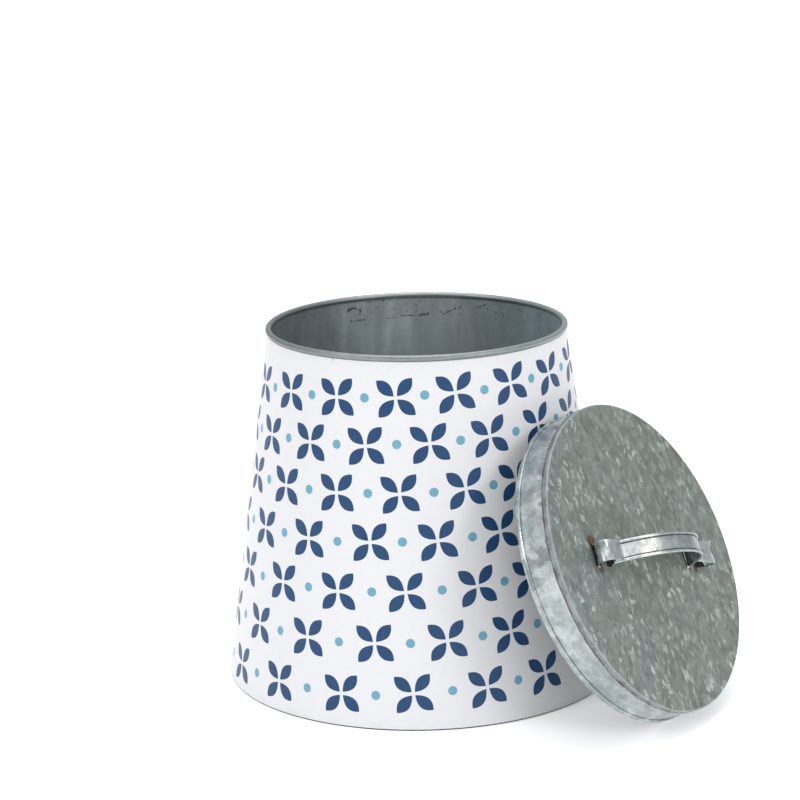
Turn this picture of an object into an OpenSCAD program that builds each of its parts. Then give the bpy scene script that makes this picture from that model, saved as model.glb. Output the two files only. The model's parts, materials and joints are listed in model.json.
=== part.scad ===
// Tapered sheet-metal canister with a printed wrap and a slip-on lid that leans against it.
// Millimetres. The origin is the centre of the base, +Z is up, and the canister stands on z = 0.

/* [Canister] */
// Outer diameter of the rolled rim at the mouth
mouth_d = 152; // [120:1:170]
// Outer diameter of the wrap at the base
base_d = 200; // [180:1:240]
// Height from the table to the top of the rim
can_h = 180; // [140:1:260]
// Diameter of the rolled rim
rim_bead_d = 3.1; // [2.8:0.1:4]
// Thickness of the galvanised sheet
sheet_t = 0.5; // [0.4:0.05:0.6]
// Thickness of the printed wrap
wrap_t = 0.2; // [0.15:0.05:0.4]
// Height of the bottom disc above the table
bottom_rise = 4; // [3:0.5:8]
// Direction of the side seam, in degrees from +X
seam_angle = 35; // [0:5:355]
// Width of the side seam
seam_w = 4.6; // [3:0.2:8]
// Height of the side seam above the wall
seam_t = 1.1; // [0.8:0.1:1.6]

/* [Lid] */
// Gap between the mouth's rim and the inside of the skirt
lid_gap = 0.8; // [0.6:0.1:1.5]
// Height of the lid from its open edge to its flat top
lid_h = 19.2; // [14:0.2:30]
// Height of the hem at the open edge
hem_h = 2.8; // [2:0.1:4]
// Height of the folded edge of the plate around the skirt
flange_h = 3.1; // [2:0.1:5]

/* [Handle] */
// Width of the strap
strap_w = 10.4; // [8:0.2:16]
// Thickness of the strap
strap_t = 0.7; // [0.6:0.1:1]
// Height of the arch above the lid
arch_h = 23.2; // [18:0.2:30]
// Distance between the feet of the arch
arch_span = 72.8; // [60:0.4:80]
// Diameter of the rolled edges of the strap
edge_bead_d = 1.5; // [1.3:0.1:2]
// Radius of the loop at each end of the strap, to the middle of the sheet
loop_r = 4; // [3.4:0.1:4.5]
// Turn of the handle in the plane of the lid, in degrees
handle_turn = -16.5; // [-90:0.5:90]

/* [Leaning lid] */
// Height angle of the lid's axis, in degrees
lean_angle = 26.4; // [20:0.2:34]
// Direction that the lid faces, in degrees from +X
face_angle = -31.5; // [-60:0.5:0]
// Direction from the canister's axis to the lid, in degrees from +X
lid_bearing = -34.8; // [-60:0.2:0]
// Distance from the canister's axis to the centre of the lid's hem
lid_reach = 116.4; // [110:0.1:160]

/* [Hidden] */
$fn = 96;

steel = "silver";
bright_steel = "lightgray";
dull_steel = "darkgray";
wrap_white = "white";

// Clearances between pieces of sheet that lie on each other
skin_gap = 0.02;
fold_gap = 0.05;

// Gaps left at the ends of the wrap, of the seam and of the fold at the foot
wrap_foot_gap = 0.4;
wrap_rim_gap = 0.1;
seam_foot_gap = 0.4;
seam_rim_gap = 0.6;
fold_end_gap = 0.3;

// Canister. The wall is a cone, so its radius is read off its height.
bead_r = rim_bead_d / 2;
bead_z = can_h - bead_r;
bead_foot_z = can_h - rim_bead_d;
bead_ring_r = mouth_d / 2 - bead_r;
wrap_top_z = bead_foot_z - wrap_rim_gap;
wrap_foot_z = wrap_foot_gap;
taper = (base_d / 2 - bead_ring_r - sheet_t / 2 - wrap_t) / bead_z;
cone_angle = atan(taper);
slot_t = sheet_t + 2 * fold_gap;
fold_top_z = bottom_rise - fold_end_gap;
seam_foot_z = bottom_rise + sheet_t + seam_foot_gap;
seam_top_z = bead_foot_z - seam_rim_gap;
seam_sunk = 0.2;

// Lid, drawn open side down around its own axis, with the middle of its hem at height zero
skirt_r = mouth_d / 2 + lid_gap;
hem_gap = 0.3;
hem_fold_r = sheet_t + hem_gap / 2;
hem_ring_r = skirt_r + hem_fold_r;
plate_top = lid_h - hem_h / 2;
plate_foot = plate_top - sheet_t;
flange_r = skirt_r + sheet_t + fold_gap;
plate_corner_r = 0.4;
lap_w_deg = 5;
lap_at = 150;

// Handle. s runs along the strap and h rises from the top of the plate.
arch_foot = arch_span / 2;
arch_r = (pow(arch_foot, 2) + pow(arch_h, 2)) / (2 * arch_h);
arch_drop = arch_r - arch_h;
edge_r = edge_bead_d / 2;
edge_proud = 0.05;
edge_foot_gap = 0.2;
edge_angle = asin((arch_drop + edge_foot_gap) / (arch_r - strap_t));
under_gap = 0.15;
under_h = -sheet_t - under_gap - strap_t;

// Slots and loops, by their distance outwards from the foot of the arch
slot_side_gap = 0.6;
slot_w = strap_w + 2 * slot_side_gap;
slot_cut_h = 4 * sheet_t;
inner_slot = [for (d = [-3.2, 0.8]) arch_foot + d];
outer_slot = [for (d = [5.2, 9.6]) arch_foot + d];
loop_reach = 7.4;
loop_rise = 0.9;
loop_centre = [arch_foot + loop_reach, loop_r + loop_rise];

// The plain end of the strap is a little narrower and thinner than the arch, which it starts inside
tab_w = strap_w - 0.2;
tab_t = strap_t - 0.06;
leg_angles = [edge_angle + 2, edge_angle - 1];
riser_angle = 42;
tab_angle = 8;
tab_sunk = 0.2;
loop_step = 12;

function wall_r(z) = base_d / 2 - wrap_t - taper * z;
function disc_r(z) = wall_r(z) - sheet_t - fold_gap;
function along(angle) = [cos(angle), sin(angle)];
// Distance from p along the unit direction d to the near side of a circle of radius r around zero
function reach(p, d, r) = -(p * d) - sqrt(pow(p * d, 2) - p * p + r * r);
// Outline of a band of thickness t along a path, with mitred corners
function normal(p, q) = [p[1] - q[1], q[0] - p[0]] / norm(q - p);
function mitre(path, i) =
    let (last = len(path) - 1,
        before = normal(path[max(i, 1) - 1], path[max(i, 1)]),
        after = normal(path[min(i, last - 1)], path[min(i, last - 1) + 1]))
    (before + after) / (1 + before * after);
function ribbon(path, t) = concat(
    [for (i = [0 : len(path) - 1]) path[i] + mitre(path, i) * t / 2],
    [for (i = [len(path) - 1 : -1 : 0]) path[i] - mitre(path, i) * t / 2]);

// Canister wall: cone, rolled rim, and a fold at the foot that holds the bottom's flange
module can_wall() {
    r_in = function(z) wall_r(z) - sheet_t;
    r_slot = function(z) r_in(z) - slot_t;
    r_fold = function(z) r_slot(z) - sheet_t;
    color(steel) {
        rotate_extrude() difference() {
            union() {
                polygon([
                    [wall_r(0), 0], [wall_r(bead_z), bead_z],
                    [r_in(bead_z), bead_z], [r_in(sheet_t), sheet_t],
                    [r_slot(sheet_t), sheet_t], [r_slot(fold_top_z), fold_top_z],
                    [r_fold(fold_top_z), fold_top_z], [r_fold(0), 0]
                ]);
                translate([bead_ring_r, bead_z]) circle(bead_r);
            }
            translate([bead_ring_r, bead_z]) circle(bead_r - sheet_t);
        }
        side_seam(r_in(seam_foot_z));
    }
}

// Flat lock seam that stands proud of the inside of the wall
module side_seam(r) {
    length = (seam_top_z - seam_foot_z) / cos(cone_angle);
    rotate([0, 0, seam_angle]) translate([r, 0, seam_foot_z]) rotate([0, -cone_angle, 0])
        translate([-seam_t, -seam_w / 2, 0]) cube([seam_t + seam_sunk, seam_w, length]);
}

module rim_wire() {
    color(dull_steel) rotate_extrude()
        translate([bead_ring_r, bead_z]) circle(bead_r - sheet_t - skin_gap);
}

// Bottom disc, with its flange turned down into the fold of the wall
module can_bottom() {
    top = bottom_rise + sheet_t;
    foot = sheet_t + fold_gap;
    color(dull_steel) rotate_extrude() polygon([
        [0, bottom_rise], [0, top], [disc_r(top), top], [disc_r(foot), foot],
        [disc_r(foot) - sheet_t, foot], [disc_r(bottom_rise) - sheet_t, bottom_rise]
    ]);
}

module printed_wrap() {
    r_out = function(z) wall_r(z) + wrap_t;
    r_in = function(z) wall_r(z) + skin_gap;
    color(wrap_white) rotate_extrude() polygon([
        [r_in(wrap_foot_z), wrap_foot_z], [r_out(wrap_foot_z), wrap_foot_z],
        [r_out(wrap_top_z), wrap_top_z], [r_in(wrap_top_z), wrap_top_z]
    ]);
}

// Moves what is drawn around the lid's own axis to where the lid leans, standing on the table
module leaning() {
    centre_z = hem_ring_r * cos(lean_angle) + (hem_h / 2 - hem_fold_r) * sin(lean_angle) + hem_fold_r;
    rotate([0, 0, lid_bearing]) translate([lid_reach, 0, centre_z])
        rotate([0, 90 - lean_angle, face_angle - lid_bearing]) rotate([0, 0, 90]) children();
}

module lid_plate() {
    r = flange_r + sheet_t;
    color(steel) leaning() difference() {
        rotate_extrude() {
            translate([0, plate_foot]) square([r - plate_corner_r, sheet_t]);
            translate([flange_r, plate_top - flange_h]) square([sheet_t, flange_h - plate_corner_r]);
            translate([r - plate_corner_r, plate_top - plate_corner_r]) intersection() {
                circle(plate_corner_r);
                square(plate_corner_r);
            }
            translate([flange_r - fold_gap, plate_foot]) square([r - plate_corner_r - flange_r + fold_gap,
                sheet_t - plate_corner_r]);
        }
        rotate([0, 0, handle_turn]) for (side = [-1, 1], slot = [inner_slot, outer_slot])
            translate([side * (slot[0] + slot[1]) / 2, 0, plate_top])
                cube([slot[1] - slot[0], slot_w, slot_cut_h], center = true);
    }
}

// Skirt: a band with its foot folded outwards, and a lap where its ends meet
module lid_skirt() {
    fold_z = hem_fold_r - hem_h / 2;
    top = plate_foot - skin_gap;
    color(bright_steel) leaning() {
        rotate_extrude() {
            translate([skirt_r, fold_z]) square([sheet_t, top - fold_z]);
            translate([hem_ring_r + hem_gap / 2, fold_z]) square([sheet_t, hem_h / 2 - fold_z]);
            translate([hem_ring_r, fold_z]) intersection() {
                difference() {
                    circle(hem_fold_r);
                    circle(hem_gap / 2);
                }
                translate([-hem_fold_r, -hem_fold_r]) square([2 * hem_fold_r, hem_fold_r]);
            }
        }
        rotate([0, 0, lap_at]) rotate_extrude(angle = lap_w_deg)
            translate([skirt_r - sheet_t, fold_z]) square([2 * sheet_t, top - fold_z]);
    }
}

// The arch is a flat band between two rolled edges, which stop just above the plate
module arch() {
    turn = 180 - 2 * edge_angle;
    translate([0, 0, -arch_drop]) rotate([90, 0, 0]) rotate([0, 0, edge_angle]) {
        rotate_extrude(angle = turn) translate([arch_r - strap_t, edge_r - strap_w / 2])
            square([strap_t, strap_w - edge_bead_d]);
        for (side = [-1, 1]) rotate_extrude(angle = turn)
            translate([arch_r - strap_t + edge_r - edge_proud, side * (strap_w / 2 - edge_r)]) circle(edge_r);
    }
}

// One end of the strap: down through the plate, along under it, up through the outer slot, round a
// loop, and back onto the rolled edges of the arch
module strap_end() {
    arch_c = [0, -arch_drop];
    low = under_h + strap_t / 2;
    foot_s = sqrt(pow(arch_r - strap_t / 2, 2) - pow(low + arch_drop, 2));
    riser_top = loop_centre + loop_r * along(riser_angle - 90);
    riser_foot = riser_top - (riser_top[1] - low) / sin(riser_angle) * along(riser_angle);
    tab_top = loop_centre + loop_r * along(90 + tab_angle);
    tab_dir = along(180 + tab_angle);
    tab_l = reach(tab_top - arch_c, tab_dir, arch_r + edge_bead_d - strap_t / 2 - tab_sunk);
    leg = [for (a = leg_angles) arch_c + (arch_r - strap_t / 2) * along(a)];
    loop = [for (a = [riser_angle - 90 : loop_step : 90]) loop_centre + loop_r * along(a)];
    path = concat(leg, [[foot_s, low], riser_foot], loop, [tab_top, tab_top + tab_l * tab_dir]);
    rotate([90, 0, 0]) linear_extrude(tab_w, center = true) polygon(ribbon(path, tab_t));
}

module handle_strap() {
    color(bright_steel) leaning() translate([0, 0, plate_top]) rotate([0, 0, handle_turn]) {
        arch();
        strap_end();
        mirror([1, 0, 0]) strap_end();
    }
}

can_wall();
rim_wire();
can_bottom();
printed_wrap();
lid_plate();
lid_skirt();
handle_strap();
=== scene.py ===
"""Looks of a tapered canister with a printed wrap, and of its strap-handled lid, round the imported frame."""

import json
import math
import random

import bmesh
import bpy
from mathutils import Matrix, Vector, noise
from mathutils.geometry import delaunay_2d_cdt


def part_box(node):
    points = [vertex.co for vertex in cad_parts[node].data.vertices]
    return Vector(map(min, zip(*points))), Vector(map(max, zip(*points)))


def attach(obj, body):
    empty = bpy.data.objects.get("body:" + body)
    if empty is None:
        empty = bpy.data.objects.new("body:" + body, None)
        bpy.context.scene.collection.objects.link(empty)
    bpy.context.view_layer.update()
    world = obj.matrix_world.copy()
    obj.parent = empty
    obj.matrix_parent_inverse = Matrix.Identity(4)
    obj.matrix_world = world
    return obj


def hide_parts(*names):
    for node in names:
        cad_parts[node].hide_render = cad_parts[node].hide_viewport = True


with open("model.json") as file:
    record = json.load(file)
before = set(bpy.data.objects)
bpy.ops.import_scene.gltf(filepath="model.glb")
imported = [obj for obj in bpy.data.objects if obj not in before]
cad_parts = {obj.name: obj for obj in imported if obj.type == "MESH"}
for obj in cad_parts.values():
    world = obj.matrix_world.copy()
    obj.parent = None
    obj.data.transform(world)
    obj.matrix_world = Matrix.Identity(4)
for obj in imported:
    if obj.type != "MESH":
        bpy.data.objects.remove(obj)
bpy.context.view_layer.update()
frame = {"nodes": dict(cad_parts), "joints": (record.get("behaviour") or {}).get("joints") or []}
nodes = frame["nodes"]
MM = 0.001


# ---------------------------------------- sizes, read off the frame

def girth(node):
    """Largest distance of a CAD node from the vertical axis."""
    return max(math.hypot(v.co.x, v.co.y) for v in nodes[node].data.vertices)


def extent(node, direction):
    """Lowest and highest reach of a CAD node along a direction."""
    reach = [v.co.dot(direction) for v in nodes[node].data.vertices]
    return min(reach), max(reach)


def middle(pair):
    return (pair[0] + pair[1]) / 2


SHEET = 0.5 * MM
# Play between two sheets folded together, and how far a surface stays inside its CAD solid
FOLD_GAP = 0.05 * MM
TUCK = 0.03 * MM

CAN_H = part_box("can_wall")[1].z
FOOT_R = girth("can_wall")
BEAD_Z = middle([corner.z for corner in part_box("rim_wire")])
BEAD_R = CAN_H - BEAD_Z
RING_R = girth("rim_wire") - (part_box("rim_wire")[1].z - BEAD_Z)
TAPER = (FOOT_R - RING_R - SHEET / 2) / BEAD_Z
WRAP_FOOT, WRAP_TOP = (corner.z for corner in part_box("printed_wrap"))
FILM_FOOT = WRAP_FOOT + 0.35 * MM
DISC_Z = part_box("can_bottom")[1].z
# Lock seam inside the wall: its place round the axis, its width and how far it stands proud
SEAM_AT = math.radians(35)
SEAM_W = 4.6 * MM
SEAM_T = 1.1 * MM


def wall_r(z):
    """Outer radius of the canister's sheet at a height."""
    return FOOT_R - TAPER * z


WRAP_T = girth("printed_wrap") - wall_r(WRAP_FOOT)

# The lid's own frame: across, up in the plane of the lid, and out along the axis that it is pulled off by.
# Its zero is in the plane of the open edge.
OUT = Vector(frame["joints"][0]["axis"]).normalized()
ACROSS = Vector((0, 0, 1)).cross(OUT).normalized()
UP = OUT.cross(ACROSS)
EDGE = extent("lid_skirt", OUT)[0]
sideways, upward = (middle(extent("lid_skirt", way)) for way in (ACROSS, UP))
lid_centre = ACROSS * sideways + UP * upward + OUT * EDGE
lid_place = Matrix.Translation(lid_centre) @ Matrix((ACROSS, UP, OUT)).transposed().to_4x4()


def half_width(node):
    """Half the reach of a lid node across the lid."""
    low, high = extent(node, ACROSS)
    return (high - low) / 2


FLANGE_FOOT, PLATE_TOP = extent("lid_plate", OUT)
LID_H = PLATE_TOP - EDGE
FLANGE_H = PLATE_TOP - FLANGE_FOOT
FLANGE_Z = LID_H - FLANGE_H
PLATE_R = half_width("lid_plate")
HEM_R = half_width("lid_skirt")
HEM_H = 2.8 * MM
HEM_GAP = 0.3 * MM
SKIRT_R = HEM_R - 2 * SHEET - HEM_GAP


# ---------------------------------------- mesh helpers

def smoothstep(x, low, high):
    """0 at low and 1 at high, with soft ends. High may be below low."""
    t = min(max((x - low) / (high - low), 0), 1)
    return t * t * (3 - 2 * t)


def turn(count, start=0.0, sweep=math.tau):
    """Evenly spaced angles."""
    return [start + sweep * i / count for i in range(count)]


def arc(centre, radius, start, end, count):
    """Points of an arc, in degrees, both ends included."""
    angles = [math.radians(start + (end - start) * i / count) for i in range(count + 1)]
    return [(centre[0] + radius * math.cos(t), centre[1] + radius * math.sin(t)) for t in angles]


def steps(start, end, count):
    """Evenly spaced points on a straight line, without its ends."""
    return [tuple(s + (e - s) * i / count for s, e in zip(start, end)) for i in range(1, count)]


def polar(t, r, z):
    """Point at an angle and a distance round the axis."""
    return (r * math.cos(t), r * math.sin(t), z)


def waves(point, size, seed=0.0):
    """Soft noise from -1 to 1 whose bumps are about size apart."""
    return noise.noise(Vector(point) / size + Vector((seed, 2 * seed, 3 * seed)))


def strip(first, second, along):
    """Triangles between two rows of verts, both sorted by their place along the rows."""
    i, j, faces = 0, 0, []
    while i < len(first) - 1 or j < len(second) - 1:
        if j == len(second) - 1 or (i < len(first) - 1 and along[first[i + 1]] <= along[second[j + 1]]):
            faces.append((first[i], first[i + 1], second[j]))
            i += 1
        else:
            faces.append((first[i], second[j + 1], second[j]))
            j += 1
    return faces


def add_outline(points, cells, outline):
    """Adds an outline to a flat sheet's points, and to the shapes that are cut into the sheet."""
    cells.append(tuple(range(len(points), len(points) + len(outline))))
    points += [Vector(p) for p in outline]


def triangulate(points, cells):
    """Points and triangles of a flat sheet, and for each triangle the cells that it lies in."""
    flat_points, _, triangles, _, _, origins = delaunay_2d_cdt(points, [], cells, 1, 1e-8)
    return flat_points, triangles, origins


def add_object(name, data):
    """A new object in the scene."""
    item = bpy.data.objects.new(name, data)
    bpy.context.scene.collection.objects.link(item)
    return item


def make_piece(name, node, verts, faces, body, materials, picks=None, place=None, sharp=40):
    """A mesh piece that rides on a body and stands for a CAD node, with smooth faces and sharp creases."""
    mesh = bpy.data.meshes.new(name)
    mesh.from_pydata(verts, [], faces)
    if place:
        mesh.transform(place)
    if picks:
        mesh.polygons.foreach_set("material_index", picks)
    tidy = bmesh.new()
    tidy.from_mesh(mesh)
    bmesh.ops.recalc_face_normals(tidy, faces=tidy.faces)
    tidy.to_mesh(mesh)
    tidy.free()
    mesh.polygons.foreach_set("use_smooth", [True] * len(mesh.polygons))
    mesh.set_sharp_from_angle(angle=math.radians(sharp))
    for material in materials:
        mesh.materials.append(material)
    piece = add_object(name, mesh)
    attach(piece, body)
    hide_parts(node)


def lathe(profile, angles, shape):
    """Verts and faces of a closed (radius, height) outline turned right round, its points moved by shape."""
    verts = []
    for t in angles:
        verts += [polar(t, *shape(t, r, z)) for r, z in profile]
    k, n = len(profile), len(angles)
    faces = [(i * k + j, i * k + (j + 1) % k, (i + 1) % n * k + (j + 1) % k, (i + 1) % n * k + j)
             for i in range(n) for j in range(k)]
    return verts, faces


# ---------------------------------------- material helpers

# Share of a spot's radius that the spot covers fully
SPOT_CORE = 0.18


class Paint:
    """One procedural material. Values may be numbers, colours or the outputs of other nodes.

    With a place, its points are read in the frame that the place sets, such as the lid's.
    """

    def __init__(self, name, metallic=0.0, place=None, **fixed):
        self.material = bpy.data.materials.new(name)
        self.material.use_nodes = True
        self.tree = self.material.node_tree
        self.shader = self.tree.nodes["Principled BSDF"]
        self.plug(self.shader.inputs["Metallic"], metallic)
        for socket, value in fixed.items():
            self.plug(self.shader.inputs[socket.replace("_", " ")], value)
        self.point = self.add("ShaderNodeTexCoord").outputs["Object"]
        if place:
            values = {0: self.point, 1: place.translation, 2: place.to_euler()}
            self.point = self.add("ShaderNodeMapping", values, vector_type="TEXTURE").outputs[0]

    def plug(self, socket, value):
        if isinstance(value, bpy.types.NodeSocket):
            self.tree.links.new(value, socket)
        else:
            socket.default_value = value

    def add(self, kind, values=(), **settings):
        node = self.tree.nodes.new(kind)
        for key, value in settings.items():
            setattr(node, key, value)
        for socket, value in dict(values).items():
            self.plug(node.inputs[socket], value)
        return node

    def math(self, operation, *values):
        return self.add("ShaderNodeMath", enumerate(values), operation=operation).outputs[0]

    def off(self, value, centre):
        """How far a value is from a centre, either way."""
        return self.math("ABSOLUTE", self.math("SUBTRACT", value, centre))

    def product(self, first, *others):
        for value in others:
            first = self.math("MULTIPLY", first, value)
        return first

    def largest(self, first, *others):
        for value in others:
            first = self.math("MAXIMUM", first, value)
        return first

    def band(self, value, low, high, to_low=0.0, to_high=1.0):
        """Smooth step of a value, from to_low at low to to_high at high. High may be below low."""
        if high < low:
            low, high, to_low, to_high = high, low, to_high, to_low
        node = self.add("ShaderNodeMapRange", {0: value, 1: low, 2: high, 3: to_low, 4: to_high})
        node.interpolation_type = "SMOOTHSTEP"
        return node.outputs[0]

    def blend(self, factor, first, second):
        node = self.add("ShaderNodeMix", data_type="RGBA")
        for socket, value in zip((0, 6, 7), (factor, first, second)):
            if socket and not isinstance(value, bpy.types.NodeSocket):
                value = (*value, 1.0)
            self.plug(node.inputs[socket], value)
        return node.outputs[2]

    def over(self, tone, *layers):
        """A tone with layers laid over it in turn. Each is a colour and then its shares, to be multiplied."""
        for colour, *shares in layers:
            tone = self.blend(self.product(*shares), tone, colour)
        return tone

    def moved(self, scale, angle, offset):
        """The point turned about Z, then shifted, then scaled on each axis."""
        turned = self.add("ShaderNodeMapping", {0: self.point, 2: (0, 0, angle)}).outputs[0]
        shifted = self.add("ShaderNodeVectorMath", {0: turned, 1: offset}, operation="ADD").outputs[0]
        return self.add("ShaderNodeVectorMath", {0: shifted, 1: scale}, operation="MULTIPLY").outputs[0]

    def grain(self, size, detail=2.0, roughness=0.5, stretch=(1, 1, 1), offset=(0, 0, 0)):
        """Noise from 0 to 1 whose bumps are about size metres across, longer where stretch is above 1."""
        scale = tuple(1 / (size * s) for s in stretch)
        place = self.moved(scale, 0.0, offset)
        values = {"Vector": place, "Scale": 1.0, "Detail": detail, "Roughness": roughness}
        return self.add("ShaderNodeTexNoise", values).outputs["Fac"]

    def crystals(self, size, stretch=(1, 1, 1), angle=0.0, offset=(0, 0, 0), ragged=0.0):
        """Cells about size metres across, with ragged outlines.

        Gives the distance from a cell's middle, and a random value for each cell.
        """
        scale = tuple(1 / (size * s) for s in stretch)
        place = self.moved(scale, angle, offset)
        if ragged:
            jitter = self.add("ShaderNodeTexNoise", {"Vector": place, "Scale": 1.7, "Detail": 2.0})
            values = {0: jitter.outputs["Color"], 1: (ragged,) * 3, 2: place}
            place = self.add("ShaderNodeVectorMath", values, operation="MULTIPLY_ADD").outputs[0]
        node = self.add("ShaderNodeTexVoronoi", {"Vector": place, "Scale": 1.0})
        value = self.add("ShaderNodeSeparateColor", {0: node.outputs["Color"]}).outputs[0]
        return node.outputs["Distance"], value

    def flecks(self, width, length, angle, share, seed):
        """Short streaks in the XY plane, on a share of the crystals."""
        offset = (seed * MM * 37, seed * MM * 11, 0)
        near, value = self.crystals(width, (1, length / width, 3), angle, offset, ragged=1.3)
        return self.product(self.band(near, 0.62, 0.34), self.band(value, 1 - share, 1.0))

    def axes(self):
        return self.add("ShaderNodeSeparateXYZ", {0: self.point}).outputs

    def near(self, place, radius):
        """1 at a point and 0 beyond a radius."""
        gap = self.add("ShaderNodeVectorMath", {0: self.point, 1: place}, operation="DISTANCE")
        return self.band(gap.outputs["Value"], radius, radius * SPOT_CORE)

    def finish(self, colour, roughness, bumps=()):
        """Plugs in the colour and roughness, and the bumps as (height, depth in metres) pairs."""
        self.plug(self.shader.inputs["Base Color"], colour)
        self.plug(self.shader.inputs["Roughness"], roughness)
        normal = None
        for height, depth in bumps:
            values = {"Height": height, "Distance": depth, "Strength": 1.0}
            if normal:
                values["Normal"] = normal
            normal = self.add("ShaderNodeBump", values).outputs[0]
        if normal:
            self.plug(self.shader.inputs["Normal"], normal)
        return self.material


# ---------------------------------------- materials

RUST = (0.11, 0.058, 0.035)
DARK_RUST = (0.035, 0.02, 0.015)
GRIME = (0.012, 0.014, 0.014)

FILM = (0.70, 0.705, 0.725)
FILM_SHADE = (0.68, 0.685, 0.71)
NAVY = (0.006, 0.045, 0.135)
NAVY_SHADE = (0.012, 0.056, 0.15)
SKY = (0.13, 0.33, 0.45)
SKY_SHADE = (0.15, 0.35, 0.47)


def film_paint(name, colour, shade, roughness, ior=1.45):
    """Satin print film or the ink on it: nearly even, with a faint waviness and dust at the foot."""
    paint = Paint(name, IOR=ior)
    mottle = paint.grain(1.1 * MM, detail=3, roughness=0.6)
    cloud = paint.grain(42 * MM, detail=1)
    foot = paint.band(paint.axes()[2], 5 * MM, 0.3 * MM)
    dusty = paint.band(paint.grain(6 * MM, 4), 0.42, 0.7)
    tone = paint.over(
        paint.blend(paint.band(mottle, 0.3, 0.75), colour, shade),
        (shade, paint.band(cloud, 0.35, 0.8), 0.35),
        (tuple(0.8 * c for c in shade), foot, dusty, 0.25))
    return paint.finish(tone, paint.band(mottle, 0.2, 0.8, roughness - 0.03, roughness + 0.05),
                        [(paint.grain(9 * MM, 2), 0.05 * MM), (mottle, 0.004 * MM)])


# Black scuffs inside the wall at the back, in millimetres: x and height of the middle, half the length and
# half the thickness, and then the slope
SCUFFS = [(-31, 166.4, 5, 0.5, 0.0), (-29.6, 171, 0.7, 2.6, 0.0), (-34, 173, 3.4, 1.5, 0.2),
          (-13.8, 166.1, 3.2, 0.5, 0.02), (-4.5, 167.1, 4.6, 0.4, 0.0), (4.6, 167.7, 4.2, 1.1, 0.1),
          (19.4, 170.3, 6.6, 0.65, 0.5), (34.2, 173.1, 3, 0.5, 0.45), (-20, 176, 9, 0.5, 0.0)]
SMUDGE_Z = 171 * MM


def scuff_marks(paint, x, y, z):
    """Broken scuffs, and the faint smudges between them."""
    mark = 0.0
    at_back = paint.band(y, 30 * MM, 45 * MM)
    for scuff_x, scuff_z, half, thick, slope in SCUFFS:
        along = paint.math("SUBTRACT", x, scuff_x * MM)
        rise = paint.math("SUBTRACT", paint.math("SUBTRACT", z, scuff_z * MM), paint.product(along, slope))
        stroke = paint.product(paint.band(paint.math("ABSOLUTE", rise), thick * MM, thick * 0.3 * MM),
                               paint.band(paint.math("ABSOLUTE", along), half * MM, half * 0.6 * MM))
        mark = paint.largest(stroke, mark)
    broken = paint.band(paint.grain(1.3 * MM, 3, 0.7), 0.44, 0.54)
    smudge = paint.product(paint.band(paint.off(z, SMUDGE_Z), 7 * MM, 2 * MM),
                           paint.band(paint.grain(2.2 * MM, 4, 0.75), 0.56, 0.66), 0.55)
    return paint.product(paint.largest(paint.product(mark, broken), smudge), at_back)


def wall_paint():
    """Galvanised sheet: soft upright streaks, pin-prick specks, and scuffs under the rim at the back."""
    dark_streak, light_streak = (0.44, 0.49, 0.495), (0.62, 0.69, 0.70)
    broad_tone, cloud_tone = (0.43, 0.505, 0.53), (0.34, 0.385, 0.39)
    dark_speck, light_speck = (0.24, 0.265, 0.265), (0.8, 0.85, 0.86)
    painted_back_light, painted_right_light, painted_left_shade = (0.85, 0.92, 0.93), (0.62, 0.74, 0.80), (0.22, 0.25, 0.255)
    rim_tone, painted_foot_shadow = (0.15, 0.165, 0.16), (0.03, 0.03, 0.03)

    paint = Paint("galvanised_wall", metallic=0.75)
    x, y, z = paint.axes()
    streak = paint.grain(7 * MM, 3, 0.55, stretch=(1, 1, 14))
    broad = paint.grain(30 * MM, 2, 0.5, stretch=(1, 1, 4), offset=(0.3, 0, 0))
    speck = paint.grain(0.8 * MM, 2, 0.7)
    cloud = paint.grain(11 * MM, 4, 0.6, offset=(0, 0.2, 0))
    central = paint.band(paint.math("ABSOLUTE", x), 62 * MM, 8 * MM)
    mark = scuff_marks(paint, x, y, z)
    tone = paint.over(
        paint.blend(paint.band(streak, 0.3, 0.7), dark_streak, light_streak),
        (broad_tone, paint.band(broad, 0.35, 0.7)),
        (cloud_tone, paint.band(cloud, 0.4, 0.62, 0.0, 0.5)),
        (dark_speck, paint.band(speck, 0.58, 0.76), 0.5),
        (light_speck, paint.band(speck, 0.38, 0.24), 0.45),
        # Painted light brighter at the back and bluer on the right, painted shade duller on the left, a
        # duller rolled rim, and a painted shadow line at the foot
        (painted_back_light, central, paint.band(y, 0.0, 60 * MM), 0.5),
        (painted_right_light, paint.band(x, 20 * MM, 65 * MM, 0.0, 0.6)),
        (painted_left_shade, paint.band(x, -20 * MM, -70 * MM, 0.0, 0.55)),
        (rim_tone, paint.band(z, BEAD_Z - BEAD_R * 1.3, BEAD_Z - BEAD_R, 0.0, 0.7)),
        # Painted shadow: a near-black line on the bare sheet just below the film
        (painted_foot_shadow, paint.band(z, FILM_FOOT + 0.6 * MM, FILM_FOOT + 0.2 * MM, 0.0, 0.9)),
        (GRIME, mark, 0.92))
    rough = paint.band(streak, 0.25, 0.75, 0.34, 0.5)
    return paint.finish(tone, paint.largest(rough, paint.product(mark, 0.8)),
                        [(streak, 0.05 * MM), (speck, 0.01 * MM), (paint.grain(22 * MM, 1), 0.25 * MM)])


def dull_steel_paint(name, dark, light):
    """Plain galvanised sheet where nobody looks: even, with faint crystals."""
    paint = Paint(name, metallic=0.9)
    _, value = paint.crystals(5 * MM)
    cloud = paint.grain(14 * MM, 3)
    tone = paint.blend(paint.band(cloud, 0.3, 0.7), dark, light)
    tone = paint.over(tone, (light, value, 0.35))
    return paint.finish(tone, paint.band(value, 0, 1, 0.36, 0.5), [(paint.grain(2 * MM, 2), 0.02 * MM)])


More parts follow.
